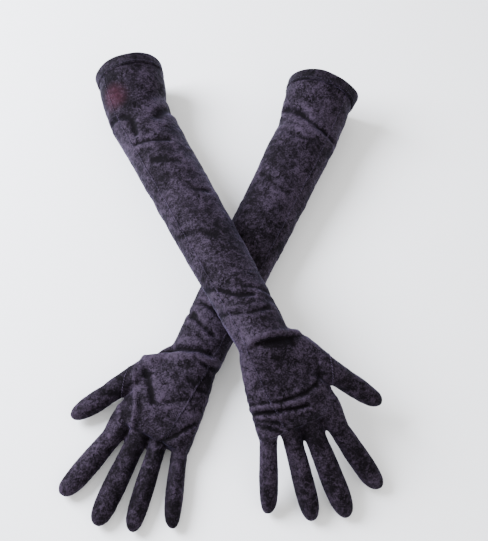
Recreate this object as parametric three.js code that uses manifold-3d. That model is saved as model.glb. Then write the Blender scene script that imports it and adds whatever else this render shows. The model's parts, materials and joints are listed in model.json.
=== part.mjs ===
// A pair of long velvet opera gloves, lying crossed with the backs of the hands up.
// The left glove lies on the floor and the right glove is laid over it at the forearms.
// Units are millimetres, +Z is up, the hems point to +Y and the fingertips to -Y.
import * as THREE from "three";
import { mergeVertices } from "three/addons/utils/BufferGeometryUtils.js";
import Module from "manifold-3d";

const wasm = await Module();
wasm.setup();

// Cloth and fits.
const CLOTH = 1.2;
const GAP = 0.3;
const LAP = CLOTH + GAP;

// Lengths along one glove.
const CUFF_LENGTH = 54;
const ELBOW_LEVEL = 20;
const SLEEVE_LENGTH = 283;
const WRIST_TO_KNUCKLES = 100;
const HEM_LENGTH = 12;

// Half widths and half heights of the sleeve.
const HEM_HALF_WIDTH = 36;
const HEM_HALF_HEIGHT = 35;
const ELBOW_HALF_WIDTH = 31.5;
const ELBOW_HALF_HEIGHT = 26;
const WRIST_HALF_WIDTH = 25;
const WRIST_HALF_HEIGHT = 19;

// Hand and fingers.
const FINGER_HALF_THICKNESS = 9;
const KNUCKLE_HALF_HEIGHT = FINGER_HALF_THICKNESS + LAP;
const KNUCKLE_PITCH = 18.8;
const KNUCKLE_HALF_WIDTH = 2.053 * KNUCKLE_PITCH; // spans the four fingers
const THUMB_HALF_THICKNESS = 9.6;
const THUMB_LENGTH = 56;
const THUMB_ALONG = 59;
const THUMB_ASIDE = 47;
const THUMB_ROLL = 15; // degrees, so that a folded thumb passes beside the folded index finger
const KNUCKLE_SHARE = 0.52;

// Each finger: knuckle place along and across the hand, length past the knuckle, half width.
const FINGERS = {
  index: { along: -1, across: 1.53, length: 74, halfWidth: 9.2 },
  middle: { along: 0, across: 0.5, length: 81, halfWidth: 9.2 },
  ring: { along: -5, across: -0.5, length: 78, halfWidth: 8.9 },
  little: { along: -13, across: -1.45, length: 71, halfWidth: 8.3 },
};

// Turned hem and stitched side seam.
const SEAM_WIDTH = 2.4;
const SEAM_HEIGHT = 0.8;
const SEAM_STEP = 8;
const CROSSING_GAP = 1.86; // between the middles of the sleeves where one glove lies over the other
const SIDES = 20;
const FINGER_SIDES = 14;

// How far each joint is made to bend, in degrees from straight.
const ELBOW_BEND = 56;
const WRIST_DOWN = 62;
const WRIST_UP = 45;
const FINGER_BEND = 86;
const KNUCKLE_BACK = 15;
const THUMB_BEND = 72;

// The way each glove lies, given for a right glove; the left one is mirrored in X.
const POSES = {
  right: {
    side: 1,
    wrist: [13.1, -81, 71.1],
    gather: 0,
    sleeveHeading: 25.3,
    elbowTurn: 11.5,
    handHeading: 23.9,
    handPitch: -15.6,
    hemZ: 35.7,
    sleeveZ: [36.5, 48.8, 61.2, 71.1],
    splay: { index: 15.5, middle: 0.8, ring: -7.1, little: -22.3 },
    tipZ: 9,
    thumbHeading: 42,
    thumbPitch: -28,
  },
  left: {
    side: -1,
    wrist: [42.9, -80.3, 18.6],
    gather: 24,
    sleeveHeading: 24.6,
    elbowTurn: 7.8,
    handHeading: 27.8,
    handPitch: -4.5,
    hemZ: 35.7,
    sleeveZ: [27.8, 23.6, 21.1, 18.6],
    splay: { index: 10.1, middle: -4.4, ring: -12.3, little: -22.4 },
    tipZ: 8.4,
    thumbHeading: 29,
    thumbPitch: -4,
  },
};

const group = new THREE.Group();
const joints = [];
const bodies = {};
const rad = THREE.MathUtils.degToRad;
const Z = new THREE.Vector3(0, 0, 1);

// A direction from a heading measured from -Y towards +X and a pitch above the floor.
function direction(heading, pitch = 0) {
  const h = rad(heading);
  const p = rad(pitch);
  return new THREE.Vector3(Math.sin(h) * Math.cos(p), -Math.cos(h) * Math.cos(p), Math.sin(p));
}

// A frame at origin: u along the cloth tube, v to the thumb side, w up.
function frameAt(origin, heading, pitch = 0) {
  const u = direction(heading, pitch);
  const v = new THREE.Vector3(Math.cos(rad(heading)), Math.sin(rad(heading)), 0);
  const w = new THREE.Vector3().crossVectors(u, v);
  return { o: origin.clone(), u, v, w };
}

// The same frame turned about its own length.
function rolled(f, angle) {
  const v = f.v.clone().applyAxisAngle(f.u, rad(angle));
  const w = f.w.clone().applyAxisAngle(f.u, rad(angle));
  return { ...f, v, w };
}

function place(f, x, y = 0, z = 0) {
  return f.o.clone().addScaledVector(f.u, x).addScaledVector(f.v, y).addScaledVector(f.w, z);
}

function manifoldOf(positions, triangles) {
  const made = new wasm.Mesh({
    numProp: 3,
    vertProperties: new Float32Array(positions),
    triVerts: new Uint32Array(triangles),
  });
  return new wasm.Manifold(made);
}

// One cross-section: centre c, axes x and y, half sizes a and b, squareness n.
function sectionPoint(s, angle, grow = 0) {
  const cos = Math.cos(angle);
  const sin = Math.sin(angle);
  const power = 2 / s.n;
  const px = (s.a + grow) * Math.sign(cos) * Math.abs(cos) ** power;
  const py = (s.b + grow) * Math.sign(sin) * Math.abs(sin) ** power;
  return s.c.clone().addScaledVector(s.x, px).addScaledVector(s.y, py);
}

// A closed solid through a row of cross-sections, with flat ends.
function loft(sections, sides, grow = 0) {
  const positions = [];
  const triangles = [];
  sections.forEach((s) => {
    for (let i = 0; i < sides; i++) {
      positions.push(...sectionPoint(s, (2 * Math.PI * i) / sides, grow).toArray());
    }
  });
  const last = sections.length - 1;
  const onward = sections[last].c.clone().sub(sections[0].c);
  const turned = new THREE.Vector3().crossVectors(sections[0].x, sections[0].y).dot(onward) < 0;
  const face = (i, j, k) => triangles.push(...(turned ? [i, k, j] : [i, j, k]));
  for (let k = 0; k < last; k++) {
    for (let i = 0; i < sides; i++) {
      const j = (i + 1) % sides;
      const p = k * sides;
      const q = p + sides;
      face(p + i, p + j, q + i);
      face(p + j, q + j, q + i);
    }
  }
  [0, last].forEach((k) => {
    const centre = positions.length / 3;
    positions.push(...sections[k].c.toArray());
    for (let i = 0; i < sides; i++) {
      const p = k * sides + i;
      const q = k * sides + ((i + 1) % sides);
      if (k === 0) face(centre, q, p);
      else face(centre, p, q);
    }
  });
  return manifoldOf(positions, triangles);
}

// A prism: outline of [x, z] pairs in the u-w plane of f, from y0 to y1 along v.
function prism(f, outline, y0, y1) {
  const shape = new THREE.Shape(outline.map(([x, z]) => new THREE.Vector2(x, z)));
  const g = new THREE.ExtrudeGeometry(shape, { depth: y1 - y0, bevelEnabled: false });
  g.deleteAttribute("normal");
  g.deleteAttribute("uv");
  const down = f.v.clone().negate();
  const m = new THREE.Matrix4().makeBasis(f.u, f.w, down);
  m.setPosition(place(f, 0, y1));
  g.applyMatrix4(m);
  const merged = mergeVertices(g, 1e-3);
  return manifoldOf(merged.attributes.position.array, merged.index.array);
}

// What lies in front of a mouth: its edge is at `middle`, and at `top` and `bottom` one radius away.
function ahead(f, radius, top, middle, bottom, y0 = -60, y1 = 60) {
  const reach = 70;
  const spread = 1.4;
  const outline = [
    [middle + (top - middle) * spread, radius * spread],
    [middle, 0],
    [middle + (bottom - middle) * spread, -radius * spread],
    [reach, -radius * spread],
    [reach, radius * spread],
  ];
  return prism(f, outline, y0, y1);
}

// What lies behind a mouth whose edge runs straight from `top` to `bottom`, one radius away each.
function behind(f, radius, top, bottom, halfWidth) {
  const reach = -40;
  const middle = (top + bottom) / 2;
  const spread = 1.4;
  const outline = [
    [reach, radius * spread],
    [reach, -radius * spread],
    [middle + (bottom - middle) * spread, -radius * spread],
    [middle + (top - middle) * spread, radius * spread],
  ];
  return prism(f, outline, -halfWidth, halfWidth);
}

const section = (f, x, a, b, y = 0, n = 2) => ({ c: place(f, x, y), x: f.v, y: f.w, a, b, n });

// The rounded end of a tube, from its full size at the hinge to `share` of the way to the pole.
function roundEnd(f, at, sign, a, b, share, y = 0) {
  const radius = b;
  return [share, share / 2].map((t) => {
    const k = Math.sqrt(1 - t * t);
    return section(f, at + sign * t * radius, a * k, b * k, y);
  });
}

// How far back from the hinge a mouth must stop so that the inner tube can bend by `angle`.
function recess(radius, angle) {
  const t = rad(angle);
  const outer = radius + GAP;
  return radius * Math.sin(t) - (Math.cos(t) * (outer - radius * Math.cos(t))) / Math.sin(t);
}

// A tube of cloth: the outer solid less the inner one, less any cuts.
function tube(sections, sides, cuts = [], closedTip = false) {
  const outer = loft(sections, sides);
  const inside = sections.map((s) => ({ ...s, a: s.a - CLOTH, b: s.b - CLOTH }));
  const first = inside[0];
  const axis = new THREE.Vector3().crossVectors(first.x, first.y);
  const forwards = axis.dot(inside[1].c.clone().sub(first.c)) > 0;
  const behindFirst = first.c.clone().addScaledVector(axis, forwards ? -1 : 1);
  inside.unshift({ ...first, c: behindFirst });
  if (!closedTip) {
    const end = inside[inside.length - 1];
    const previous = inside[inside.length - 2];
    const onward = end.c.clone().sub(previous.c).normalize();
    inside.push({ ...end, c: end.c.clone().add(onward) });
  } else {
    inside.pop();
  }
  let made = outer.subtract(loft(inside, sides));
  cuts.forEach((cut) => {
    made = made.subtract(cut);
  });
  return made;
}

function addNode(pose, name, solid, body, colour = 0x1b1520) {
  const mesh = solid.getMesh();
  const positions = Float32Array.from(mesh.vertProperties);
  const triangles = Uint32Array.from(mesh.triVerts);
  if (pose.side < 0) {
    for (let i = 0; i < positions.length; i += 3) positions[i] = -positions[i];
    for (let i = 0; i < triangles.length; i += 3) {
      [triangles[i], triangles[i + 1]] = [triangles[i + 1], triangles[i]];
    }
  }
  const g = new THREE.BufferGeometry();
  g.setAttribute("position", new THREE.BufferAttribute(positions, 3));
  g.setIndex(new THREE.BufferAttribute(triangles, 1));
  const material = new THREE.MeshStandardMaterial({ color: colour, roughness: 0.9 });
  const node = new THREE.Mesh(g, material);
  node.name = name;
  group.add(node);
  (bodies[body] ??= []).push(name);
}

// A hinge for the record: the point and the axis, with the sense kept when mirrored.
function addHinge(pose, name, parent, child, at, axis, range) {
  const p = at.clone();
  const n = axis.clone();
  if (pose.side < 0) {
    p.x = -p.x;
    n.y = -n.y;
    n.z = -n.z;
  }
  joints.push({ name, parent, child, pos: p.toArray(), axis: n.toArray(), range });
}

// The sleeve's half sizes and height part of the way from elbow to wrist.
function sleeveSection(pose, f, length, share) {
  const spots = [0, ELBOW_LEVEL / length, 1 / 3, 2 / 3, 1];
  const narrowing = [0, 0, 0.23, 0.54, 1];
  const flattening = [0, 0, 0.29, 0.64, 1];
  const heights = [pose.sleeveZ[0], ...pose.sleeveZ];
  let k = 0;
  while (k < 3 && share > spots[k + 1]) k++;
  const t = (share - spots[k]) / (spots[k + 1] - spots[k]);
  const at = (row) => THREE.MathUtils.lerp(row[k], row[k + 1], t);
  const a = THREE.MathUtils.lerp(ELBOW_HALF_WIDTH, WRIST_HALF_WIDTH, at(narrowing));
  const b = THREE.MathUtils.lerp(ELBOW_HALF_HEIGHT, WRIST_HALF_HEIGHT, at(flattening));
  const c = f.o.clone().addScaledVector(f.u, share * length);
  c.z = at(heights);
  return { c, x: f.v, y: Z, a, b, n: 2 };
}

// The sleeve's length, its ends and its frame, worked back from the wrist.
function sleeveOf(pose) {
  const length = SLEEVE_LENGTH - pose.gather;
  const wrist = new THREE.Vector3(...pose.wrist);
  const elbow = wrist.clone().addScaledVector(direction(pose.sleeveHeading), -length);
  elbow.z = pose.sleeveZ[0];
  return { length, wrist, elbow, sleeve: frameAt(elbow, pose.sleeveHeading) };
}

// How far the upper sleeve must rise so that it lies CROSSING_GAP above the lower, mirrored one.
function crossingRise(upper, lower) {
  const over = sleeveOf(upper);
  const under = sleeveOf(lower);
  const d = over.sleeve.u;
  const e = under.sleeve.u.clone().setX(-under.sleeve.u.x);
  const r = under.elbow.clone().setX(-under.elbow.x).sub(over.elbow);
  const cross = d.x * e.y - d.y * e.x;
  const alongOver = (r.x * e.y - r.y * e.x) / cross;
  const alongUnder = (r.x * d.y - r.y * d.x) / cross;
  const top = sleeveSection(lower, under.sleeve, under.length, alongUnder / under.length);
  const bottom = sleeveSection(upper, over.sleeve, over.length, alongOver / over.length);
  return top.c.z + top.b + CROSSING_GAP - (bottom.c.z - bottom.b);
}

// The stitched side seam: a low ridge that follows one corner of the tube's cross-sections.
function seam(sections) {
  const angle = (2 * Math.PI * SEAM_STEP) / SIDES;
  const rows = sections.map((s) => {
    const p = sectionPoint(s, angle);
    const next = sectionPoint(s, angle + 0.05);
    const across = next.clone().sub(p).normalize();
    const along = new THREE.Vector3().crossVectors(s.x, s.y);
    const out = new THREE.Vector3().crossVectors(across, along).normalize();
    if (out.dot(p.clone().sub(s.c)) < 0) out.negate();
    const c = p.clone().addScaledVector(out, GAP + SEAM_HEIGHT / 2);
    return { c, x: across, y: out, a: SEAM_WIDTH / 2, b: SEAM_HEIGHT / 2, n: 2 };
  });
  return loft(rows, 6);
}

function makeGlove(name, pose) {
  const { length, wrist, elbow, sleeve } = sleeveOf(pose);
  const cuff = frameAt(elbow, pose.sleeveHeading - pose.elbowTurn);
  const hand = frameAt(wrist, pose.handHeading, pose.handPitch);
  const bodyOf = (part) => name + "_" + part;

  // Cuff: from the hem to the elbow, its mouth lapping over the forearm.
  const cuffEnd = { a: ELBOW_HALF_WIDTH + LAP, b: ELBOW_HALF_HEIGHT + LAP };
  const cuffAt = (x, grow = 0) => {
    const t = x / CUFF_LENGTH;
    const c = place(cuff, x - CUFF_LENGTH);
    c.z = THREE.MathUtils.lerp(pose.hemZ, elbow.z, t);
    const a = THREE.MathUtils.lerp(HEM_HALF_WIDTH - LAP, cuffEnd.a, t) + grow;
    const b = THREE.MathUtils.lerp(HEM_HALF_HEIGHT - LAP, cuffEnd.b, t) + grow;
    return { c, x: cuff.v, y: Z, a, b, n: 2 };
  };
  const cuffRows = [cuffAt(0), cuffAt(CUFF_LENGTH / 2), cuffAt(CUFF_LENGTH)];
  const plan = { o: cuff.o, u: cuff.u, v: Z.clone().negate(), w: cuff.v };
  const inner = recess(ELBOW_HALF_WIDTH, ELBOW_BEND) + 8 * GAP;
  const cuffCut = ahead(plan, cuffEnd.a, -inner, -GAP, -GAP);
  addNode(pose, bodyOf("cuff_sleeve"), tube(cuffRows, SIDES, [cuffCut]), bodyOf("cuff"));
  const cuffSeam = seam([cuffAt(HEM_LENGTH + 0.5), cuffAt(CUFF_LENGTH - 1.5)]);
  addNode(pose, bodyOf("cuff_seam"), cuffSeam, bodyOf("cuff"));

  // Hem: the turned band round the open end of the cuff.
  const hemRows = [cuffAt(0, LAP), cuffAt(HEM_LENGTH, LAP)];
  addNode(pose, bodyOf("hem_band"), tube(hemRows, SIDES), bodyOf("cuff"), 0x120e16);

  // Forearm: three lengths of the same sleeve, its elbow end rounded inside the cuff.
  const start = sleeveSection(pose, sleeve, length, 0);
  const back = [0.56, 0.3].map((t) => {
    const k = Math.sqrt(1 - t * t);
    const c = start.c.clone().addScaledVector(sleeve.u, -t * start.a);
    return { ...start, c, a: start.a * k, b: start.b * k };
  });
  const sleeveAt = (x) => sleeveSection(pose, sleeve, length, x / length);
  const wristFrame = frameAt(wrist, pose.sleeveHeading, 0);
  const wristRadius = WRIST_HALF_HEIGHT - LAP;
  const tilt = THREE.MathUtils.radToDeg(Math.atan2(pose.sleeveZ[3] - pose.sleeveZ[2], length / 3));
  wristFrame.u = direction(pose.sleeveHeading, tilt);
  wristFrame.w = new THREE.Vector3().crossVectors(wristFrame.u, wristFrame.v);
  const mouth = ahead(
    wristFrame,
    WRIST_HALF_HEIGHT,
    -recess(wristRadius, WRIST_UP) - 4 * GAP,
    -GAP,
    -recess(wristRadius, WRIST_DOWN) - 4 * GAP,
  );
  const below = [[-400, -20], [400, -20], [400, 0], [-400, 0]];
  const floor = prism(frameAt(new THREE.Vector3(), 0), below, -400, 400);
  const lengths = [
    ["upper", 0, length / 3 - GAP / 2],
    ["middle", length / 3 + GAP / 2, (2 * length) / 3 - GAP / 2],
    ["lower", (2 * length) / 3 + GAP / 2, length],
  ];
  lengths.forEach(([part, from, to], i) => {
    const rows = [sleeveAt(from), sleeveAt(to)];
    if (i === 0) rows.splice(1, 0, sleeveAt(ELBOW_LEVEL));
    if (i === 0) rows.unshift(...back);
    const cuts = i === 2 ? [mouth, floor] : [floor];
    addNode(pose, bodyOf("forearm_" + part), tube(rows, SIDES, cuts), bodyOf("forearm"));
    const trim = i === 0 ? 4 : 1;
    const seamRows = [sleeveAt(from + trim), sleeveAt(to - (i === 2 ? 16 : 1))];
    if (i === 0) seamRows.splice(1, 0, sleeveAt(ELBOW_LEVEL));
    addNode(pose, bodyOf("forearm_seam_" + part), seam(seamRows), bodyOf("forearm"));
  });

  // Hand: a flat bag from the wrist to the knuckles with five mouths.
  const wide = WRIST_HALF_WIDTH - LAP;
  const deep = wristRadius;
  const widths = (t) => THREE.MathUtils.lerp(wide, KNUCKLE_HALF_WIDTH, t);
  const depths = (t) => THREE.MathUtils.lerp(deep, KNUCKLE_HALF_HEIGHT, t);
  const handRows = [
    ...roundEnd(hand, 0, -1, wide, deep, 0.62),
    section(hand, 0, wide, deep),
    section(hand, 14, wide, deep - 0.6),
    section(hand, 0.3 * WRIST_TO_KNUCKLES, widths(0.38), depths(0.24), 0.8, 2.2),
    section(hand, 0.5 * WRIST_TO_KNUCKLES, widths(0.7), depths(0.45), 1, 2.6),
    section(hand, 0.75 * WRIST_TO_KNUCKLES, widths(0.93), depths(0.78), 0.8, 4),
    section(hand, 0.88 * WRIST_TO_KNUCKLES, KNUCKLE_HALF_WIDTH, KNUCKLE_HALF_HEIGHT + 0.1, 0.8, 6),
    section(hand, WRIST_TO_KNUCKLES, KNUCKLE_HALF_WIDTH, KNUCKLE_HALF_HEIGHT, 0.8, 6),
  ];
  const handOuter = (grow) => loft(handRows, SIDES + 8, grow);

  // Thumb piece: set into the hand, leaving it on the thumb side.
  const thumbHinge = place(hand, THUMB_ALONG, THUMB_ASIDE);
  const thumbMouth = { a: THUMB_HALF_THICKNESS + 0.4 + LAP, b: THUMB_HALF_THICKNESS + 0.2 + LAP };
  const root = place(hand, 14, 4);
  const base = { ...hand, o: root };
  base.u = thumbHinge.clone().sub(root).normalize();
  base.v = new THREE.Vector3().crossVectors(hand.w, base.u).normalize();
  base.w = hand.w;
  const rootLength = thumbHinge.distanceTo(root);
  const flat = frameAt(thumbHinge, pose.handHeading + pose.thumbHeading, pose.thumbPitch);
  const thumb = rolled(flat, THUMB_ROLL);
  const baseRows = [
    section(base, 0, 13, 12),
    section(base, 0.55 * rootLength, 14.5, 12.6),
    section(thumb, 0, thumbMouth.a, thumbMouth.b),
  ];
  const baseInner = baseRows.map((s) => ({ ...s, a: s.a - CLOTH, b: s.b - CLOTH }));
  baseInner.push({ ...baseInner[2], c: place(thumb, 6) });
  const thumbBack = recess(THUMB_HALF_THICKNESS, 64) + 4 * GAP;
  const thumbTop = recess(THUMB_HALF_THICKNESS, 36) + 2 * GAP;
  const thumbCut = ahead(thumb, thumbMouth.b, -thumbTop, -2 * GAP, -thumbBack, -30, 30);
  const inset = loft(baseRows, SIDES)
    .subtract(loft(baseInner, SIDES))
    .subtract(handOuter(GAP))
    .subtract(thumbCut);
  addNode(pose, bodyOf("thumb_inset"), inset, bodyOf("hand"));

  // Fingers: knuckle frames first, since the hand's mouths are cut round them.
  const fingers = Object.entries(FINGERS).map(([finger, size]) => {
    const at = place(hand, WRIST_TO_KNUCKLES + size.along, size.across * KNUCKLE_PITCH);
    const drop = (at.z - pose.tipZ) / (size.length - 4);
    const pitch = -THREE.MathUtils.radToDeg(Math.asin(drop));
    return { finger, size, f: frameAt(at, pose.handHeading + pose.splay[finger], pitch) };
  });
  const mouths = fingers.map(({ finger, size, f }) => {
    const w = 0.65 * KNUCKLE_PITCH;
    const y0 = finger === "little" ? -w - 25 : -w;
    const y1 = finger === "index" ? w + 25 : w;
    const top = -recess(FINGER_HALF_THICKNESS, KNUCKLE_BACK) - 2 * GAP;
    const bottom = -recess(FINGER_HALF_THICKNESS, FINGER_BEND) - GAP;
    return ahead(f, KNUCKLE_HALF_HEIGHT, top, (top + bottom) / 2, bottom, y0, y1);
  });
  const trank = tube(handRows, SIDES + 8, [loft(baseInner, SIDES), ...mouths]);
  addNode(pose, bodyOf("hand_trank"), trank, bodyOf("hand"));
  addNode(pose, bodyOf("hand_seam"), handSeam(handRows).subtract(handOuter(GAP)), bodyOf("hand"));

  fingers.forEach(({ finger, size, f }) => {
    makeFinger(pose, name, finger, f, size.length, size.halfWidth, FINGER_HALF_THICKNESS, FINGER_BEND);
    const range = [-KNUCKLE_BACK, 75];
    const child = bodyOf(finger);
    addHinge(pose, child + "_knuckle", bodyOf("hand"), child, f.o, hand.v, range);
  });
  const thumbWidth = THUMB_HALF_THICKNESS + 0.2;
  makeFinger(pose, name, "thumb", thumb, THUMB_LENGTH, thumbWidth, THUMB_HALF_THICKNESS, THUMB_BEND);
  addHinge(pose, bodyOf("thumb_knuckle"), bodyOf("hand"), bodyOf("thumb"), thumb.o, thumb.v, [-20, 50]);
  const down = Z.clone().negate();
  const bend = [-pose.elbowTurn, ELBOW_BEND - pose.elbowTurn];
  addHinge(pose, bodyOf("elbow"), bodyOf("forearm"), bodyOf("cuff"), elbow, down, bend);
  const restBend = tilt - pose.handPitch;
  const turn = [-WRIST_UP - restBend, WRIST_DOWN - 2 - restBend];
  addHinge(pose, bodyOf("wrist"), bodyOf("forearm"), bodyOf("hand"), wrist, hand.v, turn);
}

// The hand's side seam runs on the little-finger side from the wrist to the knuckles.
function handSeam(rows) {
  const used = rows.slice(3, 7);
  const angle = (2 * Math.PI * 11) / (SIDES + 8);
  const ridge = used.map((s, i) => {
    const shift = i === used.length - 1 ? -6 : i === 0 ? 4 : 0;
    const along = new THREE.Vector3().crossVectors(s.x, s.y);
    const p = sectionPoint(s, angle);
    const before = sectionPoint(s, angle - 0.1);
    const across = p.clone().sub(before).normalize();
    const out = new THREE.Vector3().crossVectors(across, along).normalize();
    if (out.dot(p.clone().sub(s.c)) < 0) out.negate();
    const c = p.addScaledVector(out, GAP + SEAM_HEIGHT / 2 + 0.3);
    c.addScaledVector(along.dot(direction(0)) > 0 ? along : along.negate(), shift);
    return { c, x: across, y: out, a: SEAM_WIDTH / 2, b: SEAM_HEIGHT / 2, n: 2 };
  });
  return loft(ridge, 6);
}

// A finger: a lower tube rounded at both ends, and a tip that laps over its far end.
function makeFinger(pose, glove, finger, f, length, halfWidth, halfThickness, bend) {
  const name = glove + "_" + finger;
  const near = KNUCKLE_SHARE * length;
  const farWidth = halfWidth - LAP + 0.2;
  const farThickness = halfThickness - LAP + 0.2;
  const lower = [
    ...roundEnd(f, 0, -1, halfWidth, halfThickness, 0.6),
    section(f, 0, halfWidth, halfThickness),
    section(f, near - farThickness, farWidth, farThickness),
    section(f, near, farWidth, farThickness),
    ...roundEnd(f, near, 1, farWidth, farThickness, 0.6).reverse(),
  ];
  addNode(pose, name + "_lower", tube(lower, FINGER_SIDES), name);
  const tip = { ...f, o: place(f, near) };
  const reach = length - near;
  const startWidth = farWidth + LAP;
  const startThickness = farThickness + LAP;
  const upper = [
    section(tip, 0, startWidth, startThickness),
    section(tip, 0.55 * reach, startWidth * 0.95, startThickness * 0.9),
    section(tip, 0.82 * reach, startWidth * 0.78, startThickness * 0.72),
    section(tip, 0.95 * reach, startWidth * 0.48, startThickness * 0.44),
    section(tip, reach, startWidth * 0.15, startThickness * 0.13),
  ];
  const cut = behind(tip, startThickness, 0, recess(farThickness, bend) + 2 * GAP, 30);
  addNode(pose, name + "_tip", tube(upper, FINGER_SIDES, [cut], true), name + "_tip");
  addHinge(pose, name + "_middle_joint", name, name + "_tip", tip.o, f.v, [0, bend - 2]);
}

const rise = crossingRise(POSES.right, POSES.left);
POSES.right.sleeveZ = POSES.right.sleeveZ.map((z, k) => z + rise * Math.min(1, k / 2));
POSES.right.wrist[2] += rise;
makeGlove("left", POSES.left);
makeGlove("right", POSES.right);

// The origin is the middle of the footprint, at the floor.
const box = new THREE.Box3().setFromObject(group, true);
const shift = new THREE.Vector3(-(box.min.x + box.max.x) / 2, -(box.min.y + box.max.y) / 2, -box.min.z);
group.children.forEach((node) => node.geometry.translate(shift.x, shift.y, shift.z));
joints.forEach((joint) => {
  joint.pos = new THREE.Vector3(...joint.pos).add(shift).toArray();
});
group.userData = { bodies, joints, shift: shift.toArray() };

export default group;
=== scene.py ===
import json
import math

import bpy
import numpy as np
from bpy.props import FloatProperty, FloatVectorProperty, PointerProperty
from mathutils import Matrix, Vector
from mathutils.bvhtree import BVHTree


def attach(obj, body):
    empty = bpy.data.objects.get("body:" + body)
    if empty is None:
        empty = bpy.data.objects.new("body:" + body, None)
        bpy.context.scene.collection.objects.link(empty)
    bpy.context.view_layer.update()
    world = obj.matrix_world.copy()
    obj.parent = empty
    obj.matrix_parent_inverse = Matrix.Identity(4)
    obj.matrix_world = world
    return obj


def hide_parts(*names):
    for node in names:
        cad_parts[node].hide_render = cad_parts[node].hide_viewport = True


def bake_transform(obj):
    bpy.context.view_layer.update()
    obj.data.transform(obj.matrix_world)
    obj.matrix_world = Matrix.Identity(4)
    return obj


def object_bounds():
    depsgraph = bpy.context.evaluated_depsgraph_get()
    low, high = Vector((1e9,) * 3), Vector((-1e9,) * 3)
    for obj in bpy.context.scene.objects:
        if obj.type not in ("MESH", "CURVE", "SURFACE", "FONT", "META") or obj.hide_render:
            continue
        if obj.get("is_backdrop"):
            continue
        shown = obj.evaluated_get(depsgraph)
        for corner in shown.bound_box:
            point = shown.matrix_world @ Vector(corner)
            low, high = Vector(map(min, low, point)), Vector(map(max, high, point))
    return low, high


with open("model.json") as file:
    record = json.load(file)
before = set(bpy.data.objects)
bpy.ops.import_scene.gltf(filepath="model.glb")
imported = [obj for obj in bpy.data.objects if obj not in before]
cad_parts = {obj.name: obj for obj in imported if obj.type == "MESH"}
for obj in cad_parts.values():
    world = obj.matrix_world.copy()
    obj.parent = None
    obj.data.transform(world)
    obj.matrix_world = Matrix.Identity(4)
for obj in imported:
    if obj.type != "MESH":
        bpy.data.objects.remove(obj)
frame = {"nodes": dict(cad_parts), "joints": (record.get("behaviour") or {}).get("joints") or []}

bl_info = {
    "name": "Opera gloves",
    "version": (1, 0, 0),
    "blender": (4, 5, 0),
    "location": "3D View > Sidebar > Gloves",
    "description": "Builds a pair of crushed velvet opera gloves on their jointed frame",
    "category": "Add Mesh",
}

CAD_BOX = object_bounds()
MM = 0.001
SIDES = {"left": -1.0, "right": 1.0}
FINGERS = ("index", "middle", "ring", "little")
JOINTS = {j["name"]: j for j in frame["joints"]}
UP = np.array([0.0, 0.0, 1.0])
WRIST_REACH = 12.0  # mm to each side of the wrist in which the sleeve's measures become the hand's


# ---------------------------------------------------------------- frame


def joint_at(name):
    """A joint's point, in millimetres."""
    return np.array(JOINTS[name]["pos_m"], float) / MM


def joint_axis(name):
    axis = np.array(JOINTS[name]["axis"], float)
    return axis / np.linalg.norm(axis)


def node_points(name):
    """A CAD node's vertices, in millimetres."""
    data = frame["nodes"][name].data
    co = np.empty(len(data.vertices) * 3)
    data.vertices.foreach_get("co", co)
    return co.reshape(-1, 3) / MM


def unit(v):
    v = np.asarray(v, float)
    return v / np.linalg.norm(v)


def smooth(t):
    t = np.clip(t, 0.0, 1.0)
    return t * t * (3.0 - 2.0 * t)


def section_of(node, origin, along, across, up, at, reach=0.8):
    """Centre, half width and half height of a CAD node where it crosses `at` along its length."""
    p = node_points(node) - origin
    near = p[np.abs(p @ along - at) < reach]
    side = near @ across
    high = near @ up
    centre = origin + along * at + across * (side.max() + side.min()) / 2
    centre = centre + up * ((high.max() + high.min()) / 2 - (centre - origin - along * at) @ up)
    return centre, (side.max() - side.min()) / 2, (high.max() - high.min()) / 2


class Glove:
    """The lines and sections that one glove is built on, taken from the frame."""

    def __init__(self, name):
        self.name = name
        self.side = SIDES[name]
        self.elbow = joint_at(name + "_elbow")
        self.wrist = joint_at(name + "_wrist")
        self.across = joint_axis(name + "_wrist") * self.side
        run = self.wrist - self.elbow
        self.sleeve_length = np.linalg.norm(run[:2])
        self.along = unit([run[0], run[1], 0.0])
        self.sleeve_across = np.cross(UP, self.along) * self.side
        knuckle = joint_at(name + "_middle_knuckle") - self.wrist
        self.hand_along = unit(knuckle - (knuckle @ self.across) * self.across)
        self.hand_up = np.cross(self.hand_along, self.across) * self.side
        hem = node_points(name + "_hem_band")
        out = unit((hem.mean(axis=0) - self.elbow) * [1, 1, 0])
        self.cuff_along = -out
        self.cuff_across = np.cross(UP, self.cuff_along) * self.side
        self.cuff_length = -((hem - self.elbow) @ self.cuff_along).min()
        self.hem = section_of(
            name + "_hem_band", self.elbow, self.cuff_along, self.cuff_across, UP, -self.cuff_length
        )
        self.fingers = {f: Finger(self, f) for f in FINGERS}
        self.thumb = Finger(self, "thumb")

    def to_hand(self, p):
        """Distances along, across and above the hand, from the wrist."""
        d = p - self.wrist
        return np.stack([d @ self.hand_along, d @ self.across, d @ self.hand_up], axis=-1)

    def on_hand(self, along, across, up=0.0):
        return self.wrist + self.hand_along * along + self.across * across + self.hand_up * up

    def measure(self, p):
        """Distance along the glove from the elbow and across it, for points in space."""
        d = p - self.elbow
        before = np.stack([d @ self.along, d @ self.sleeve_across], axis=-1)
        hand = self.to_hand(p)
        after = np.stack([hand[..., 0] + self.sleeve_length, hand[..., 1]], axis=-1)
        w = smooth((hand[..., 0] + WRIST_REACH) / (2 * WRIST_REACH))[..., None]
        return before * (1 - w) + after * w


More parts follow.
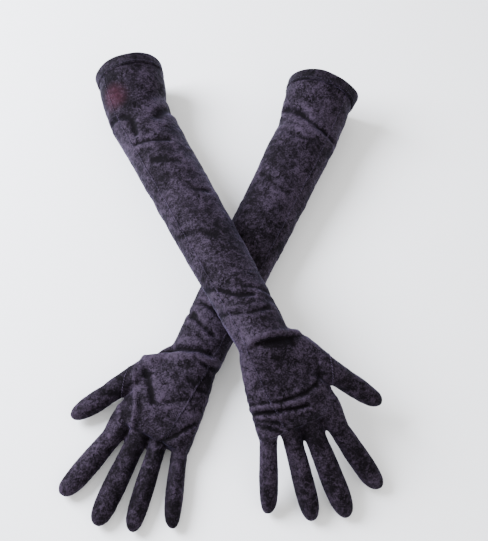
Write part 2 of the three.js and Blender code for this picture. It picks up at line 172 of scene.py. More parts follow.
class Finger:
    def __init__(self, glove, name):
        stem = glove.name + "_" + name
        self.name = name
        self.root = joint_at(stem + "_knuckle")
        self.bend = joint_at(stem + "_middle_joint")
        self.across = joint_axis(stem + "_knuckle") * glove.side
        self.along = unit(self.bend - self.root)
        self.up = np.cross(self.along, self.across) * glove.side
        tip = node_points(stem + "_tip") - self.root
        self.length = (tip @ self.along).max()
        self.near = np.linalg.norm(self.bend - self.root)
        _, self.half_width, self.half_height = section_of(
            stem + "_lower", self.root, self.along, self.across, self.up, 0.0
        )

    def local(self, p):
        d = p - self.root
        return np.stack([d @ self.along, d @ self.across, d @ self.up], axis=-1)

    def at(self, x, y=0.0, z=0.0):
        return self.root + self.along * x + self.across * y + self.up * z


# ---------------------------------------------------------------- mesh tools


def section_ring(s, sides):
    """Points round one cross-section: centre, across, up, half width, half height, squareness."""
    centre, across, up, a, b, power = s
    angle = np.arange(sides) * 2 * math.pi / sides
    c, d = np.cos(angle), np.sin(angle)
    x = a * np.sign(c) * np.abs(c) ** (2 / power)
    y = b * np.sign(d) * np.abs(d) ** (2 / power)
    return centre + x[:, None] * across + y[:, None] * up


def loft(rings, joined=False):
    """Points and faces of a skin through rings of points, its ends closed or joined together."""
    count = len(rings[0])
    points = np.concatenate(rings)
    faces = []
    for k in range(len(rings) if joined else len(rings) - 1):
        p, q = k * count, (k + 1) % len(rings) * count
        for i in range(count):
            j = (i + 1) % count
            faces.append((p + i, p + j, q + j, q + i))
    if not joined:
        faces.append(tuple(range(count))[::-1])
        faces.append(tuple(len(points) - count + i for i in range(count)))
    return points, faces


def merge(parts):
    """Several (points, faces) as one."""
    points, faces, start = [], [], 0
    for p, f in parts:
        points.append(p)
        faces += [tuple(i + start for i in face) for face in f]
        start += len(p)
    return np.concatenate(points), faces


def catmull(rows, step):
    """Key rows of numbers spaced evenly along their first three columns, by a smooth curve."""
    rows = np.array(rows, float)
    out = []
    for k in range(len(rows) - 1):
        p1, p2 = rows[k], rows[k + 1]
        p0 = rows[k - 1] if k else 2 * p1 - p2
        p3 = rows[k + 2] if k + 2 < len(rows) else 2 * p2 - p1
        count = max(1, int(round(np.linalg.norm((p2 - p1)[:3]) / step)))
        for i in range(count):
            t = i / count
            curve = 2 * p1 + (p2 - p0) * t + (2 * p0 - 5 * p1 + 4 * p2 - p3) * t * t
            out.append(0.5 * (curve + (3 * p1 - p0 - 3 * p2 + p3) * t ** 3))
    out.append(rows[-1])
    return np.array(out)


def row(centre, across, up, a, b, power=2.0):
    return [*centre, *across, *up, a, b, power]


def rings_of(rows, step, sides):
    made = []
    for r in catmull(rows, step):
        across = unit(r[3:6])
        up = r[6:9] - (r[6:9] @ across) * across
        made.append(section_ring((r[:3], across, unit(up), r[9], r[10], r[11]), sides))
    return made


def new_mesh(name, points, faces):
    """A mesh in metres from points in millimetres."""
    data = bpy.data.meshes.new(name)
    data.from_pydata((np.asarray(points) * MM).tolist(), [], faces)
    data.update()
    return data


def new_object(name, points, faces):
    obj = bpy.data.objects.new(name, new_mesh(name, points, faces))
    bpy.context.scene.collection.objects.link(obj)
    return obj


def arrays(data):
    """A mesh's points in millimetres and its quads as index rows, a triangle's last index twice."""
    co = np.empty(len(data.vertices) * 3)
    data.vertices.foreach_get("co", co)
    start = np.empty(len(data.polygons), int)
    total = np.empty(len(data.polygons), int)
    loops = np.empty(len(data.loops), int)
    data.polygons.foreach_get("loop_start", start)
    data.polygons.foreach_get("loop_total", total)
    data.loops.foreach_get("vertex_index", loops)
    pick = start[:, None] + np.minimum(np.arange(4)[None, :], total[:, None] - 1)
    return co.reshape(-1, 3) / MM, loops[pick]


def normals_of(points, quads):
    """Smooth normals at the points of a mesh of quads."""
    a, b, c, d = (points[quads[:, i]] for i in range(4))
    face = np.cross(c - a, d - b)
    out = np.zeros_like(points)
    for i in range(4):
        np.add.at(out, quads[:, i], face)
    return out / np.maximum(np.linalg.norm(out, axis=1, keepdims=True), 1e-9)


def relax(points, quads, rounds, pull=0.5, push=0.0):
    """Evens a mesh out by moving each point towards its neighbours, and back by `push`."""
    edges = np.concatenate([quads[:, [i, (i + 1) % 4]] for i in range(4)])
    edges = edges[edges[:, 0] != edges[:, 1]]
    count = np.bincount(edges.ravel(), minlength=len(points)).astype(float)[:, None]
    for _ in range(rounds):
        for amount in (pull, -push) if push else (pull,):
            total = np.zeros_like(points)
            for axis in range(3):
                total[:, axis] = np.bincount(
                    edges[:, 0], points[edges[:, 1], axis], len(points)
                ) + np.bincount(edges[:, 1], points[edges[:, 0], axis], len(points))
            move = (total / np.maximum(count, 1) - points) * amount
            points = points + move
    return points


def voxel_skin(points, faces, size):
    """One closed skin round overlapping closed solids."""
    obj = new_object("voxel_work", points, faces)
    modifier = obj.modifiers.new("voxels", "REMESH")
    modifier.mode = "VOXEL"
    modifier.voxel_size = size * MM
    modifier.adaptivity = 0.0
    made = bpy.data.meshes.new_from_object(obj.evaluated_get(bpy.context.evaluated_depsgraph_get()))
    result = arrays(made)
    bpy.data.objects.remove(obj)
    bpy.data.meshes.remove(made)
    return result


LATTICE = np.random.default_rng(7).random((24, 24, 24))


def wander(p):
    """Smooth pseudo-random values from -1 to 1 at points in space, one hill per unit."""
    base = np.floor(p).astype(int)
    t = smooth(p - base)
    total = np.zeros(len(p))
    for i in (0, 1):
        for j in (0, 1):
            for k in (0, 1):
                weight = (
                    np.abs(1 - i - t[:, 0]) * np.abs(1 - j - t[:, 1]) * np.abs(1 - k - t[:, 2])
                )
                x, y, z = ((base[:, n] + (i, j, k)[n]) % 24 for n in range(3))
                total += weight * LATTICE[x, y, z]
    return 2 * total - 1


def to_line(q, line):
    """Distance of points q to a line of points, and their side of it: beyond it is positive."""
    best = np.full(len(q), 1e9)
    side = np.ones(len(q))
    for a, b in zip(line[:-1], line[1:]):
        a, b = np.array(a, float), np.array(b, float)
        d = b - a
        t = np.clip(((q - a) @ d) / (d @ d), 0, 1)
        off = q - (a + t[:, None] * d)
        dist = np.linalg.norm(off, axis=1)
        nearer = dist < best
        best = np.where(nearer, dist, best)
        side = np.where(nearer, np.sign(off[:, 0]), side)
    return best, side


# ---------------------------------------------------------------- folds

# Each fold: its line as (along from the elbow, across) in mm, depth, width, and how much the
# cloth stands up beyond the line and before it. Hand folds count along from the wrist.
FOLDS = {
    "right": {
        "sleeve": [
            ([(5, -29), (9, -18), (18, -13), (36, -16)], 1.7, 2.6, 0.8, 0.3),
            ([(46, -20), (50, -9), (56, 2), (59, 10)], 1.6, 2.4, 0.7, 0.4),
            ([(14, 34), (17, 25), (25, 12)], 2.4, 5.0, 0.9, 0.9),
            ([(74, -14), (84, -4), (88, 8)], 0.8, 3.0, 0.4, 0.2),
            ([(118, 2), (128, 10), (132, 20)], 0.7, 3.0, 0.4, 0.2),
            ([(166, -22), (172, -8), (184, 4)], 0.8, 3.4, 0.3, 0.3),
            ([(226, -27), (236, -17), (251, -3), (254, 8)], 1.8, 2.2, 0.8, 0.5),
            ([(257, -25), (264, -14), (270, -2), (272, 14)], 1.5, 2.2, 0.6, 0.5),
            ([(244, 6), (250, 16), (256, 24)], 0.9, 2.2, 0.4, 0.3),
        ],
        "hand": [
            ([(12, -10), (13, 0), (15, 12), (17, 22), (19, 34)], 1.4, 2.4, 0.2, 1.8),
            ([(14, -4), (17, 8), (22, 22)], 1.2, 4.5, 0.2, 0.2),
            ([(50, -34), (58, -22), (60, -6)], 0.7, 2.2, 0.4, 0.3),
            ([(58, -34), (66, -10), (68, 15), (64, 26)], 1.1, 2.0, 0.8, 0.6),
            ([(66, -38), (72, -18), (77, 3), (78, 12)], 2.1, 2.0, 0.9, 0.6),
            ([(76, -36), (84, -27), (91, -19)], 1.6, 1.8, 0.7, 0.4),
            ([(72, -36), (80, -22), (87, -12)], 1.0, 1.6, 0.4, 0.3),
            ([(44, 36), (56, 34), (66, 27)], 1.0, 2.4, 0.5, 0.3),
        ],
    },
    "left": {
        "sleeve": [
            ([(-10, 30), (-4, 8), (1, -11), (2, -28)], 2.2, 2.8, 0.9, 0.7),
            ([(14, 20), (20, 4), (18, -12)], 0.9, 3.0, 0.4, 0.3),
            ([(70, 18), (78, 2), (80, -14)], 0.7, 3.4, 0.3, 0.3),
            ([(218, 16), (221, 2), (226, -12)], 1.5, 2.2, 0.6, 0.5),
            ([(234, 18), (240, 4), (244, -10)], 1.6, 2.2, 0.8, 0.5),
            ([(228, 26), (232, 14)], 1.0, 2.2, 0.4, 0.4),
        ],
        "hand": [
            ([(22, 40), (14, 26), (8, 12), (3, -4), (1, -15)], 2.8, 2.8, 2.4, 0.4),
            ([(10, -4), (12, -14), (10, -24)], 1.2, 2.0, 0.7, 0.3),
            ([(40, 33), (50, 23), (62, 12)], 1.6, 3.4, 0.4, 0.9),
            ([(48, 41), (60, 33), (72, 25), (96, 16)], -1.7, 2.6, 0.0, 0.0),
            ([(76, 43), (88, 33), (96, 28)], -1.3, 2.4, 0.0, 0.0),
            ([(66, 12), (56, -4), (47, -18)], 0.9, 2.0, 0.5, 0.3),
            ([(63, -32), (80, -23), (95, -11)], 1.2, 2.0, 0.6, 0.3),
            ([(30, -8), (34, -20), (32, -30)], 0.8, 2.4, 0.4, 0.2),
        ],
    },
}


# A fold's shape in shares of its width: where it ends, its lip's distance and width, its core.
FOLD_END = 6
LIP_AWAY = 2.1
LIP_WIDTH = 1.3
CREASE_CORE = 0.8
LIP_HIGHLIGHT = 0.55  # how much painted highlight a fold's lip gets
FULL_CREASE = 1.2  # depth in mm from which a crease's core is painted fully dark, and a raised fold's core fully light
UNDERSIDE = -0.45  # how far down the cloth faces where its folds begin to show
UNDERSIDE_FADE = 0.8
# How the cloth wanders between its folds: the size and height of its hills, in mm.
HILLS = ((26.0, 0.75), (9.0, 0.42), (4.6, 0.2))
HILL_STRETCH = 1.7  # hills are this much shorter along the glove than across it
FINGERS_FROM = 92.0  # mm from the wrist, where the cloth is drawn tight
FINGERS_OVER = 14.0
FINGERS_CALM = 0.55


def fold_height(glove, points, normals, settings):
    """How far the cloth stands out of its plain shape at each point, in millimetres, and the folds'
    painted light: over 0 for painted highlight on fold lips and raised folds, under 0 for
    painted shade in creases."""
    measured = glove.measure(points)
    top = smooth((normals @ UP - UNDERSIDE) / UNDERSIDE_FADE)
    height = np.zeros(len(points))
    pile = np.zeros(len(points))
    for part, start in (("sleeve", 0.0), ("hand", glove.sleeve_length)):
        for line, depth, width, beyond, before in FOLDS[glove.name][part]:
            line = [(a + start, c) for a, c in line]
            dist, side = to_line(measured, line)
            reach = dist < FOLD_END * width
            dip = depth * np.exp(-((dist / width) ** 2))
            swell = np.exp(-(((dist - LIP_AWAY * width) / (LIP_WIDTH * width)) ** 2))
            swell = swell * np.where(side > 0, beyond, before)
            height += np.where(reach, (swell - dip) * top, 0.0) * settings.fold_depth
            # pile gathers painted light: painted shade in each crease's core, painted highlight on
            # fold lips and raised folds
            core_shading = np.exp(-((dist / (CREASE_CORE * width)) ** 2))
            core_shading = core_shading * min(1.0, abs(depth) / FULL_CREASE)
            lift = LIP_HIGHLIGHT * np.abs(swell) - np.sign(depth) * core_shading
            pile += np.where(reach, lift * top, 0.0)
    along, across = measured[:, 0], measured[:, 1]
    local = np.stack([along * HILL_STRETCH, across, (points - glove.wrist) @ UP], axis=-1)
    offset = 3.0 + glove.side
    hills = [tall * wander(local / size + offset * k) for k, (size, tall) in enumerate(HILLS, 1)]
    past = along - glove.sleeve_length - FINGERS_FROM
    calm = 1 - FINGERS_CALM * smooth(past / FINGERS_OVER)
    height += sum(hills) * calm * settings.unevenness
    return height, np.clip(pile, -1.0, 1.0)


# ---------------------------------------------------------------- the cloth skin

# Palm cross-sections: along from the wrist in mm, share of the way from the wrist's width and
# height to the knuckles', shift to the thumb side in mm, squareness.
PALM_ROWS = (
    (14, 0.0, 0.0, 0.0, 2.0),
    (30, 0.38, 0.24, 0.8, 2.1),
    (50, 0.7, 0.45, 1.0, 2.3),
    (75, 0.93, 0.74, 0.8, 3.0),
    (86, 1.0, 0.9, 0.8, 3.6),
    (92, 1.0, 0.8, 0.8, 3.6),
)
# Finger cross-sections: share of the length, share of the root's half width and half height.
FINGER_ROWS = (
    (0.0, 1.02, 1.0),
    (0.12, 1.0, 0.98),
    (0.3, 1.05, 0.96),
    (0.5, 1.12, 0.98),
    (0.68, 1.12, 0.94),
    (0.84, 1.05, 0.86),
    (0.94, 0.88, 0.72),
    (1.005, 0.6, 0.5),
    (1.035, 0.28, 0.24),
)
THUMB_ROWS = (
    (0.3, 1.0, 0.92),
    (0.52, 1.02, 0.94),
    (0.74, 0.92, 0.84),
    (0.88, 0.74, 0.66),
    (0.96, 0.52, 0.46),
    (1.01, 0.22, 0.2),
)
# For each finger, how much wider than its jointed tube it lies, and its shift to the thumb side.
FINGER_WIDEN = {"index": 1.06, "middle": 1.05, "ring": 0.98, "little": 1.06}
FINGER_ASIDE = {"index": 1.6, "middle": 0.4, "ring": -0.2, "little": -1.2}
# Where each finger's piece of cloth begins, in mm beyond its hinge, and a span in mm from its hinge
# whose far end helps set where its end piece begins.
FINGER_START = dict.fromkeys(FINGERS, 4.0) | {"little": 6.0, "thumb": 3.0}
FINGER_BEND = dict.fromkeys(FINGERS, (4, 18)) | {"thumb": (1, 15)}
TIP_SPREAD = 8.0
ELBOW_SPREAD = 22.0
WRIST_SPREAD = 18.0
LINING_DEPTH = 130.0
EDGE_CUT = 2.0  # the skin ends this far inside the hem's edge, in mm
SLEEVE_SHARE = 0.4  # the share of the way to the wrist where the sleeve's piece ends
FINGERS_BEGIN = 80.0  # nearer the wrist than this, in mm, the cloth belongs to the hand
THUMB_REACH = 13.5  # cloth within this distance of the thumb's middle line belongs to it
LEAST_HEIGHT = 0.2  # the cloth lies this far over the floor, in mm
# Where each glove's finish is laid out, in metres, so that the two don't show the same marks.
CLOTH_SHIFT = {"left": np.array((0.41, 0.13, 0.27)), "right": np.zeros(3)}


def sleeve_rows(glove):
    name = glove.name

    def cut(node, at, along=glove.along, across=glove.sleeve_across, reach=0.8):
        centre, a, b = section_of(name + node, glove.elbow, along, across, UP, at, reach)
        return row(centre, across, UP, a, b)

    centre, a, b = glove.hem
    beyond = row(centre - glove.cuff_along * 10, glove.cuff_across, UP, a - 1, b - 1)
    hem = row(centre, glove.cuff_across, UP, a - 1, b - 1)
    length = glove.sleeve_length
    cuff = cut("_cuff_sleeve", -glove.cuff_length / 2, glove.cuff_along, glove.cuff_across, 2.0)
    rows = [beyond, hem, cuff]
    rows.append(cut("_forearm_upper", 0.0))
    rows.append(cut("_forearm_upper", 20.0))
    rows.append(cut("_forearm_middle", length / 3, reach=1.0))
    rows.append(cut("_forearm_middle", 2 * length / 3, reach=1.0))
    return rows


def palm_rows(glove):
    local = glove.to_hand(node_points(glove.name + "_hand_trank"))
    neck = local[np.abs(local[:, 0]) < 0.8]
    end = local[local[:, 0] > 80]
    wrist = (np.abs(neck[:, 1]).max() + 1.5, np.abs(neck[:, 2]).max() + 1.5)
    knuckles = ((end[:, 1].max() - end[:, 1].min()) / 2, (end[:, 2].max() - end[:, 2].min()) / 2)
    rows = [row(glove.wrist, glove.across, glove.hand_up, *wrist)]
    for along, wide, high, aside, power in PALM_ROWS:
        a = wrist[0] + (knuckles[0] - wrist[0]) * wide
        b = wrist[1] + (knuckles[1] - wrist[1]) * high
        rows.append(row(glove.on_hand(along, aside), glove.across, glove.hand_up, a, b, power))
    return rows


def finger_rows(finger):
    aside = FINGER_ASIDE[finger.name]
    wide = finger.half_width * FINGER_WIDEN[finger.name]
    high = finger.half_height
    rows = [row(finger.at(-14), finger.across, finger.up, finger.half_width, high)]
    for share, a, b in FINGER_ROWS:
        centre = finger.at(share * finger.length, aside * min(1.0, share * 4 + 0.4))
        rows.append(row(centre, finger.across, finger.up, wide * a, high * b))
    return rows


def edge_rows(glove):
    """The fullness of the palm's edge from the thumb to the index finger."""
    index = glove.fingers["index"]
    spots = (
        (glove.on_hand(58, 30), 7.0),
        (glove.on_hand(74, 32.5), 8.0),
        (glove.on_hand(88, 34), 8.4),
        (index.at(6, 3.4), 8.0),
        (index.at(20, 2.2), 7.8),
    )
    return [row(c, glove.across, glove.hand_up, r, 0.92 * r) for c, r in spots]


def thumb_rows(glove):
    thumb = glove.thumb
    start = glove.on_hand(9, 11)
    along = unit(thumb.root - start)
    across = unit(np.cross(glove.hand_up, along) * glove.side)
    rows = [
        row(start, across, glove.hand_up, 13, 11),
        row(start + (thumb.root - start) * 0.5, across, glove.hand_up, 15.0, 12),
        row(thumb.at(-1), thumb.across, thumb.up, thumb.half_width + 1, thumb.half_height + 0.6),
    ]
    for share, a, b in THUMB_ROWS:
        size = thumb.half_width * a, thumb.half_height * b
        rows.append(row(thumb.at(share * thumb.length), thumb.across, thumb.up, *size))
    return rows


# The step in mm and the sides of the tubes that the skin is drawn round.
SLEEVE_TUBE = 4.0, 56
FINGER_TUBE = 2.5, 32


class Skin:
    """One glove's cloth as a single surface, before it is shared out among its pieces."""

    def __init__(self, glove, settings):
        self.glove = glove
        solids = [
            loft(rings_of(sleeve_rows(glove) + palm_rows(glove), *SLEEVE_TUBE)),
            loft(rings_of(thumb_rows(glove), *FINGER_TUBE)),
            loft(rings_of(edge_rows(glove), *FINGER_TUBE)),
        ]
        solids += [loft(rings_of(finger_rows(f), *FINGER_TUBE)) for f in glove.fingers.values()]
        points, quads = voxel_skin(*merge(solids), settings.skin_step)
        points = relax(points, quads, rounds=3)
        points = relax(points, quads, rounds=6, pull=0.5, push=0.52)
        self.cloth = points + CLOTH_SHIFT[glove.name] / MM
        normals = normals_of(points, quads)
        # self.pile holds the folds' painted light: painted shade in creases, painted highlight on
        # their lips
        height, self.pile = fold_height(glove, points, normals, settings)
        points = relax(points + normals * height[:, None], quads, rounds=1, pull=0.35)
        points[:, 2] = np.maximum(points[:, 2], LEAST_HEIGHT)
        edge = (points - glove.elbow) @ glove.cuff_along + glove.cuff_length
        keep = edge[quads].mean(axis=1) > EDGE_CUT
        self.points = points
        self.quads = quads[keep]
        self.normals = normals_of(points, quads)
        self.centres = points[self.quads].mean(axis=1)
        self.tree = BVHTree.FromPolygons(points.tolist(), self.quads.tolist())
        self.share = self.share_out()

    def share_out(self):
        """Which piece each face belongs to, by name."""
        glove = self.glove
        measured = (self.centres - glove.elbow) @ glove.along
        end = glove.sleeve_length * SLEEVE_SHARE
        names = np.where(measured < end, "sleeve", "hand").astype(object)
        hand = glove.to_hand(self.centres)
        local = {name: f.local(self.centres) for name, f in glove.fingers.items()}
        off = np.stack([np.hypot(q[:, 1], q[:, 2]) for q in local.values()])
        nearest = off.argmin(axis=0)
        for k, (name, q) in enumerate(local.items()):
            mine = (nearest == k) & (q[:, 0] > FINGER_START[name]) & (hand[:, 0] > FINGERS_BEGIN)
            far = q[:, 0] > self.tip_split(glove.fingers[name])
            names[mine & ~far] = name
            names[mine & far] = name + "_end"
        q = glove.thumb.local(self.centres)
        mine = (q[:, 0] > FINGER_START["thumb"]) & (np.hypot(q[:, 1], q[:, 2]) < THUMB_REACH)
        far = q[:, 0] > self.tip_split(glove.thumb)
        names[mine & ~far] = "thumb"
        names[mine & far] = "thumb_end"
        return names

    @staticmethod
    def tip_split(finger):
        return (FINGER_BEND[finger.name][1] + finger.near - TIP_SPREAD) / 2

    def surface(self, origin, direction):
        """Where a line from inside the glove leaves its skin, with the outward normal."""
        spot, normal, index, _ = self.tree.ray_cast(Vector(origin), Vector(direction))
        if spot is None:
            raise RuntimeError("a line inside the " + self.glove.name + " glove missed its skin")
        normal = np.array(normal)
        return np.array(spot), normal if normal @ direction > 0 else -normal


SKINS = {}


def skins(scene):
    """Both gloves' names and skins, made when they are first asked for."""
    for name in SIDES:
        if name not in SKINS:
            SKINS[name] = Skin(Glove(name), scene.glove_cloth)
        yield name, SKINS[name]


def cloth_piece(name, points, faces, normals, cloth, finish, slot, pile=None):
    """A piece of cloth with smooth normals and the coordinates its finish is laid out in."""
    obj = new_object(name, points, faces)
    data = obj.data
    data.polygons.foreach_set("use_smooth", [True] * len(data.polygons))
    layer = data.attributes.new("cloth", "FLOAT_VECTOR", "POINT")
    layer.data.foreach_set("vector", (np.asarray(cloth) * MM).ravel())
    # The pile attribute carries the folds' painted shade and highlight to the finish
    layer = data.attributes.new("pile", "FLOAT", "POINT")
    layer.data.foreach_set("value", np.zeros(len(points)) if pile is None else pile)
    if normals is not None:
        data.normals_split_custom_set_from_vertices(np.asarray(normals).tolist())
    data.materials.append(finish)
    return obj


def corners(quad):
    return tuple(dict.fromkeys(quad))


def picked(skin, choice):
    """The points that the chosen faces of a skin use, and those faces."""
    if not choice.any():
        raise RuntimeError("the " + skin.glove.name + " glove has no cloth for one of its pieces")
    used, index = np.unique(skin.quads[choice], return_inverse=True)
    return used, [corners(q) for q in index.reshape(-1, 4).tolist()]


def cut_piece(skin, part, finish):
    """The faces of one part of the skin as a piece of their own."""
    used, faces = picked(skin, skin.share == part)
    name = skin.glove.name + "_velvet_" + part
    shape = skin.points[used], faces, skin.normals[used], skin.cloth[used]
    # skin.pile is the folds' painted shade and highlight
    return cloth_piece(name, *shape, finish, "velvet", skin.pile[used])


def metres(p):
    return tuple(float(v) * MM for v in p)


def bend_at(obj, glove, before, after, at, along, reach):
    """Bakes a piece's place into its mesh."""
    start, end = reach
    metres(at + along * start)
    metres(at + along * end)
    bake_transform(obj)


def bend_elbow(obj, glove):
    reach = (-ELBOW_SPREAD, ELBOW_SPREAD)
    bend_at(obj, glove, "cuff", "forearm", glove.elbow, glove.along, reach)


def bend_wrist(obj, glove):
    along = unit(glove.along + glove.hand_along)
    bend_at(obj, glove, "forearm", "hand", glove.wrist, along, (-WRIST_SPREAD, WRIST_SPREAD))


# ---------------------------------------------------------------- swept pieces


def sweep(path, out, along, profile, closed=False):
    """A ribbon along a path: each point of the profile is (aside, outwards) in mm."""
    rings = []
    for p, n, t in zip(path, out, along):
        aside = unit(np.cross(n, t))
        rings.append(np.array([p + aside * a + n * b for a, b in profile]))
    return loft(rings, joined=closed)


def tangents(path, closed=False):
    path = np.asarray(path)
    if closed:
        ahead, back = np.roll(path, -1, axis=0), np.roll(path, 1, axis=0)
    else:
        ahead = np.concatenate([path[1:], path[-1:]])
        back = np.concatenate([path[:1], path[:-1]])
    d = ahead - back
    return d / np.linalg.norm(d, axis=1, keepdims=True)


STITCH_SIDES = 6
STITCH_STEPS = (0.0, 0.18, 0.5, 0.82, 1.0)  # shares of a stitch's length where it has a ring


def stitches(path, out, pitch, length, thick, slant=0.0):
    """Short threads laid end to end along a path, each dipping into the cloth at its ends."""
    path = np.asarray(path)
    run = np.concatenate([[0.0], np.cumsum(np.linalg.norm(np.diff(path, axis=0), axis=1))])
    turn = np.arange(STITCH_SIDES) * 2 * math.pi / STITCH_SIDES
    parts = []
    for start in np.arange(pitch / 2, run[-1] - length, pitch):
        rings = []
        for t in STITCH_STEPS:
            at = start + length * t
            centre = np.array([np.interp(at, run, path[:, k]) for k in range(3)])
            n = unit([np.interp(at, run, out[:, k]) for k in range(3)])
            ahead = np.array([np.interp(at + 0.2, run, path[:, k]) for k in range(3)])
            d = unit(ahead - centre)
            aside = unit(np.cross(n, d))
            lift = thick * (1.1 * math.sin(math.pi * t) - 0.35)
            centre = centre + n * lift + aside * slant * (t - 0.5)
            r = thick / 2 * (0.5 + 0.5 * math.sin(math.pi * t))
            rings.append(centre + r * (np.cos(turn)[:, None] * aside + np.sin(turn)[:, None] * n))
        parts.append(loft(rings))
    return merge(parts)


def thread_on(obj, points, faces, finish):
    """Adds stitches to a piece as a second finish on the same mesh."""
    data = obj.data
    first = len(data.vertices)
    old_points, old_faces = arrays(data)[0], [tuple(p.vertices) for p in data.polygons]
    cloth = np.empty(first * 3)
    data.attributes["cloth"].data.foreach_get("vector", cloth)
    data.clear_geometry()
    all_faces = old_faces + [tuple(i + first for i in f) for f in faces]
    all_points = np.concatenate([old_points, points])
    data.from_pydata((all_points * MM).tolist(), [], all_faces)
    layer = data.attributes.get("cloth") or data.attributes.new("cloth", "FLOAT_VECTOR", "POINT")
    layer.data.foreach_set("vector", np.concatenate([cloth, (points * MM).ravel()]))
    data.materials.append(finish)
    kinds = [0] * len(old_faces) + [1] * len(faces)
    data.polygons.foreach_set("material_index", kinds)
    data.polygons.foreach_set("use_smooth", [True] * len(kinds))
    data.update()


# ---------------------------------------------------------------- hems, seams and linings

# The turned hem in section: distance in from the edge and height over the cloth, in mm, for a
# hem 12 mm wide.
HEM_PROFILE = (
    (12.5, 0.0),
    (11.8, 0.7),
    (9.6, 1.0),
    (5.0, 1.15),
    (2.0, 1.25),
    (0.5, 0.85),
    (-0.3, -0.2),
    (0.3, -1.3),
    (1.6, -1.9),
    (6.0, -1.9),
    (11.0, -1.7),
    (12.3, -1.1),
)
HEM_WIDTH = 12.0
HEM_SIDES = 150
HEM_FLARE = {"left": 3.0, "right": 1.2}  # how far the edge stands out on its outer side, in mm
FLARE_SPREAD = 0.4  # in radians round the hem
WAVES = 2.3  # the hem's waviness: higher is more waves round it
HEM_THREAD = (1.7, 1.0)  # the stitches' distance from the hem's inner edge and height, in mm
THREAD_THICKNESS = {"hem": 0.5, "seam": 0.42}
CLOTH_OFFSET = 31.0  # mm, so that the hem doesn't show the sleeve's marks
SEAM_ANGLE = math.radians(144)
SEAM_END = 94.0  # mm from the wrist
RIDGE = ((-1.1, -0.7), (-0.8, 0.4), (-0.3, 1.0), (0.3, 1.0), (0.8, 0.4), (1.1, -0.7))


def hem_rings(skin, waviness):
    """For each turn round the hem: its direction and a function giving points on its profile."""
    glove = skin.glove
    centre = glove.hem[0]
    angle = np.arange(HEM_SIDES) * 2 * math.pi / HEM_SIDES
    out = np.cos(angle)[:, None] * glove.cuff_across + np.sin(angle)[:, None] * UP
    start = centre + glove.cuff_along * (HEM_WIDTH / 2)
    radius = np.array([np.linalg.norm(skin.surface(start, d)[0] - start) for d in out])
    radius = sum(np.roll(radius, k) for k in range(-2, 3)) / 5
    around = np.cos(angle) * WAVES, np.sin(angle) * WAVES, 0 * angle + 4 * glove.side
    wave = wander(np.stack(around, axis=-1) + 11) * waviness
    flare = np.exp(-((np.abs(angle - math.pi) / FLARE_SPREAD) ** 2)) * HEM_FLARE[glove.name]

    def at(x, r):
        near = max(0.0, 1 - x / HEM_WIDTH)
        along = x + wave * near - 0.6 * flare * near
        size = radius + r + 0.5 * wave + flare * near
        points = centre + glove.cuff_along * along[:, None] + out * size[:, None]
        points[:, 2] = np.maximum(points[:, 2], 0.15)
        return points

    return out, at


def hem_piece(skin, settings, finish, thread):
    glove = skin.glove
    out, at = hem_rings(skin, settings.waviness)
    scale = settings.width / HEM_WIDTH
    sections = np.stack([at(x * scale, r) for x, r in HEM_PROFILE], axis=1)
    points, faces = loft(sections, joined=True)
    faces = [(a, d, c, b) for a, b, c, d in faces]
    cloth = points + CLOTH_SHIFT[glove.name] / MM + CLOTH_OFFSET
    obj = cloth_piece(glove.name + "_velvet_hem", points, faces, None, cloth, finish, "hem")
    line = at(settings.width - HEM_THREAD[0], HEM_THREAD[1])
    line = np.concatenate([line, line[:1]])
    out = np.concatenate([out, out[:1]])
    made = stitches(line, out, settings.stitch, settings.stitch * 0.7, THREAD_THICKNESS["hem"])
    thread_on(obj, *made, thread)
    return obj


def side_line(skin):
    """The side seam's line over the skin, with its outward normals and distances from the wrist."""
    glove = skin.glove
    spots, outs, from_wrist = [], [], []
    for r in catmull(sleeve_rows(glove) + palm_rows(glove), 2.5):
        centre, across = r[:3], unit(r[3:6])
        up = unit(r[6:9] - (r[6:9] @ across) * across)
        if (centre - glove.elbow) @ glove.cuff_along < HEM_WIDTH + 0.5 - glove.cuff_length:
            continue
        ahead = (centre - glove.wrist) @ glove.hand_along
        if ahead > SEAM_END:
            break
        direction = across * math.cos(SEAM_ANGLE) + up * math.sin(SEAM_ANGLE)
        spot, normal = skin.surface(centre, direction)
        spots.append(spot)
        outs.append(unit(normal + direction))
        from_wrist.append(ahead)
    spots = np.array(spots)
    middle = (spots[:-2] + spots[1:-1] * 2 + spots[2:]) / 4
    spots = np.concatenate([spots[:1], middle, spots[-1:]])
    return spots, np.array(outs), np.array(from_wrist)


def ridge_piece(name, glove, path, out, settings, finish, thread, closed=False):
    profile = [(a * settings.width / 2, b * settings.height) for a, b in RIDGE]
    points, faces = sweep(path, out, tangents(path, closed), profile, closed)
    cloth = points + CLOTH_SHIFT[glove.name] / MM
    obj = cloth_piece(name, points, faces, None, cloth, finish, "seam")
    line = path + out * settings.height * 0.9
    if closed:
        line, out = np.concatenate([line, line[:1]]), np.concatenate([out, out[:1]])
    thick = THREAD_THICKNESS["seam"]
    made = stitches(line, out, settings.stitch, settings.stitch * 0.72, thick, slant=0.9)
    thread_on(obj, *made, thread)
    return obj


THUMB_LOOP_AT = -2.0  # mm beyond the thumb's hinge
THUMB_LOOP_STEPS = 64
THUMB_LOOP_LEAN = (0.28, -0.96)  # the way the loop leans: across the hand and along it


def thumb_line(skin):
    """The loop where the thumb piece is set into the hand."""
    glove = skin.glove
    start = glove.thumb.at(THUMB_LOOP_AT)
    back = unit(glove.across * THUMB_LOOP_LEAN[0] + glove.hand_along * THUMB_LOOP_LEAN[1])
    spots, outs = [], []
    for k in range(THUMB_LOOP_STEPS):
        t = k * 2 * math.pi / THUMB_LOOP_STEPS
        direction = unit(back * math.cos(t) + glove.hand_up * math.sin(t))
        spot, normal = skin.surface(start, direction)
        spots.append(spot)
        outs.append(unit(normal + direction))
    spots = np.array(spots)
    for _ in range(3):
        spots = (np.roll(spots, 1, axis=0) + 2 * spots + np.roll(spots, -1, axis=0)) / 4
    return spots, np.array(outs)


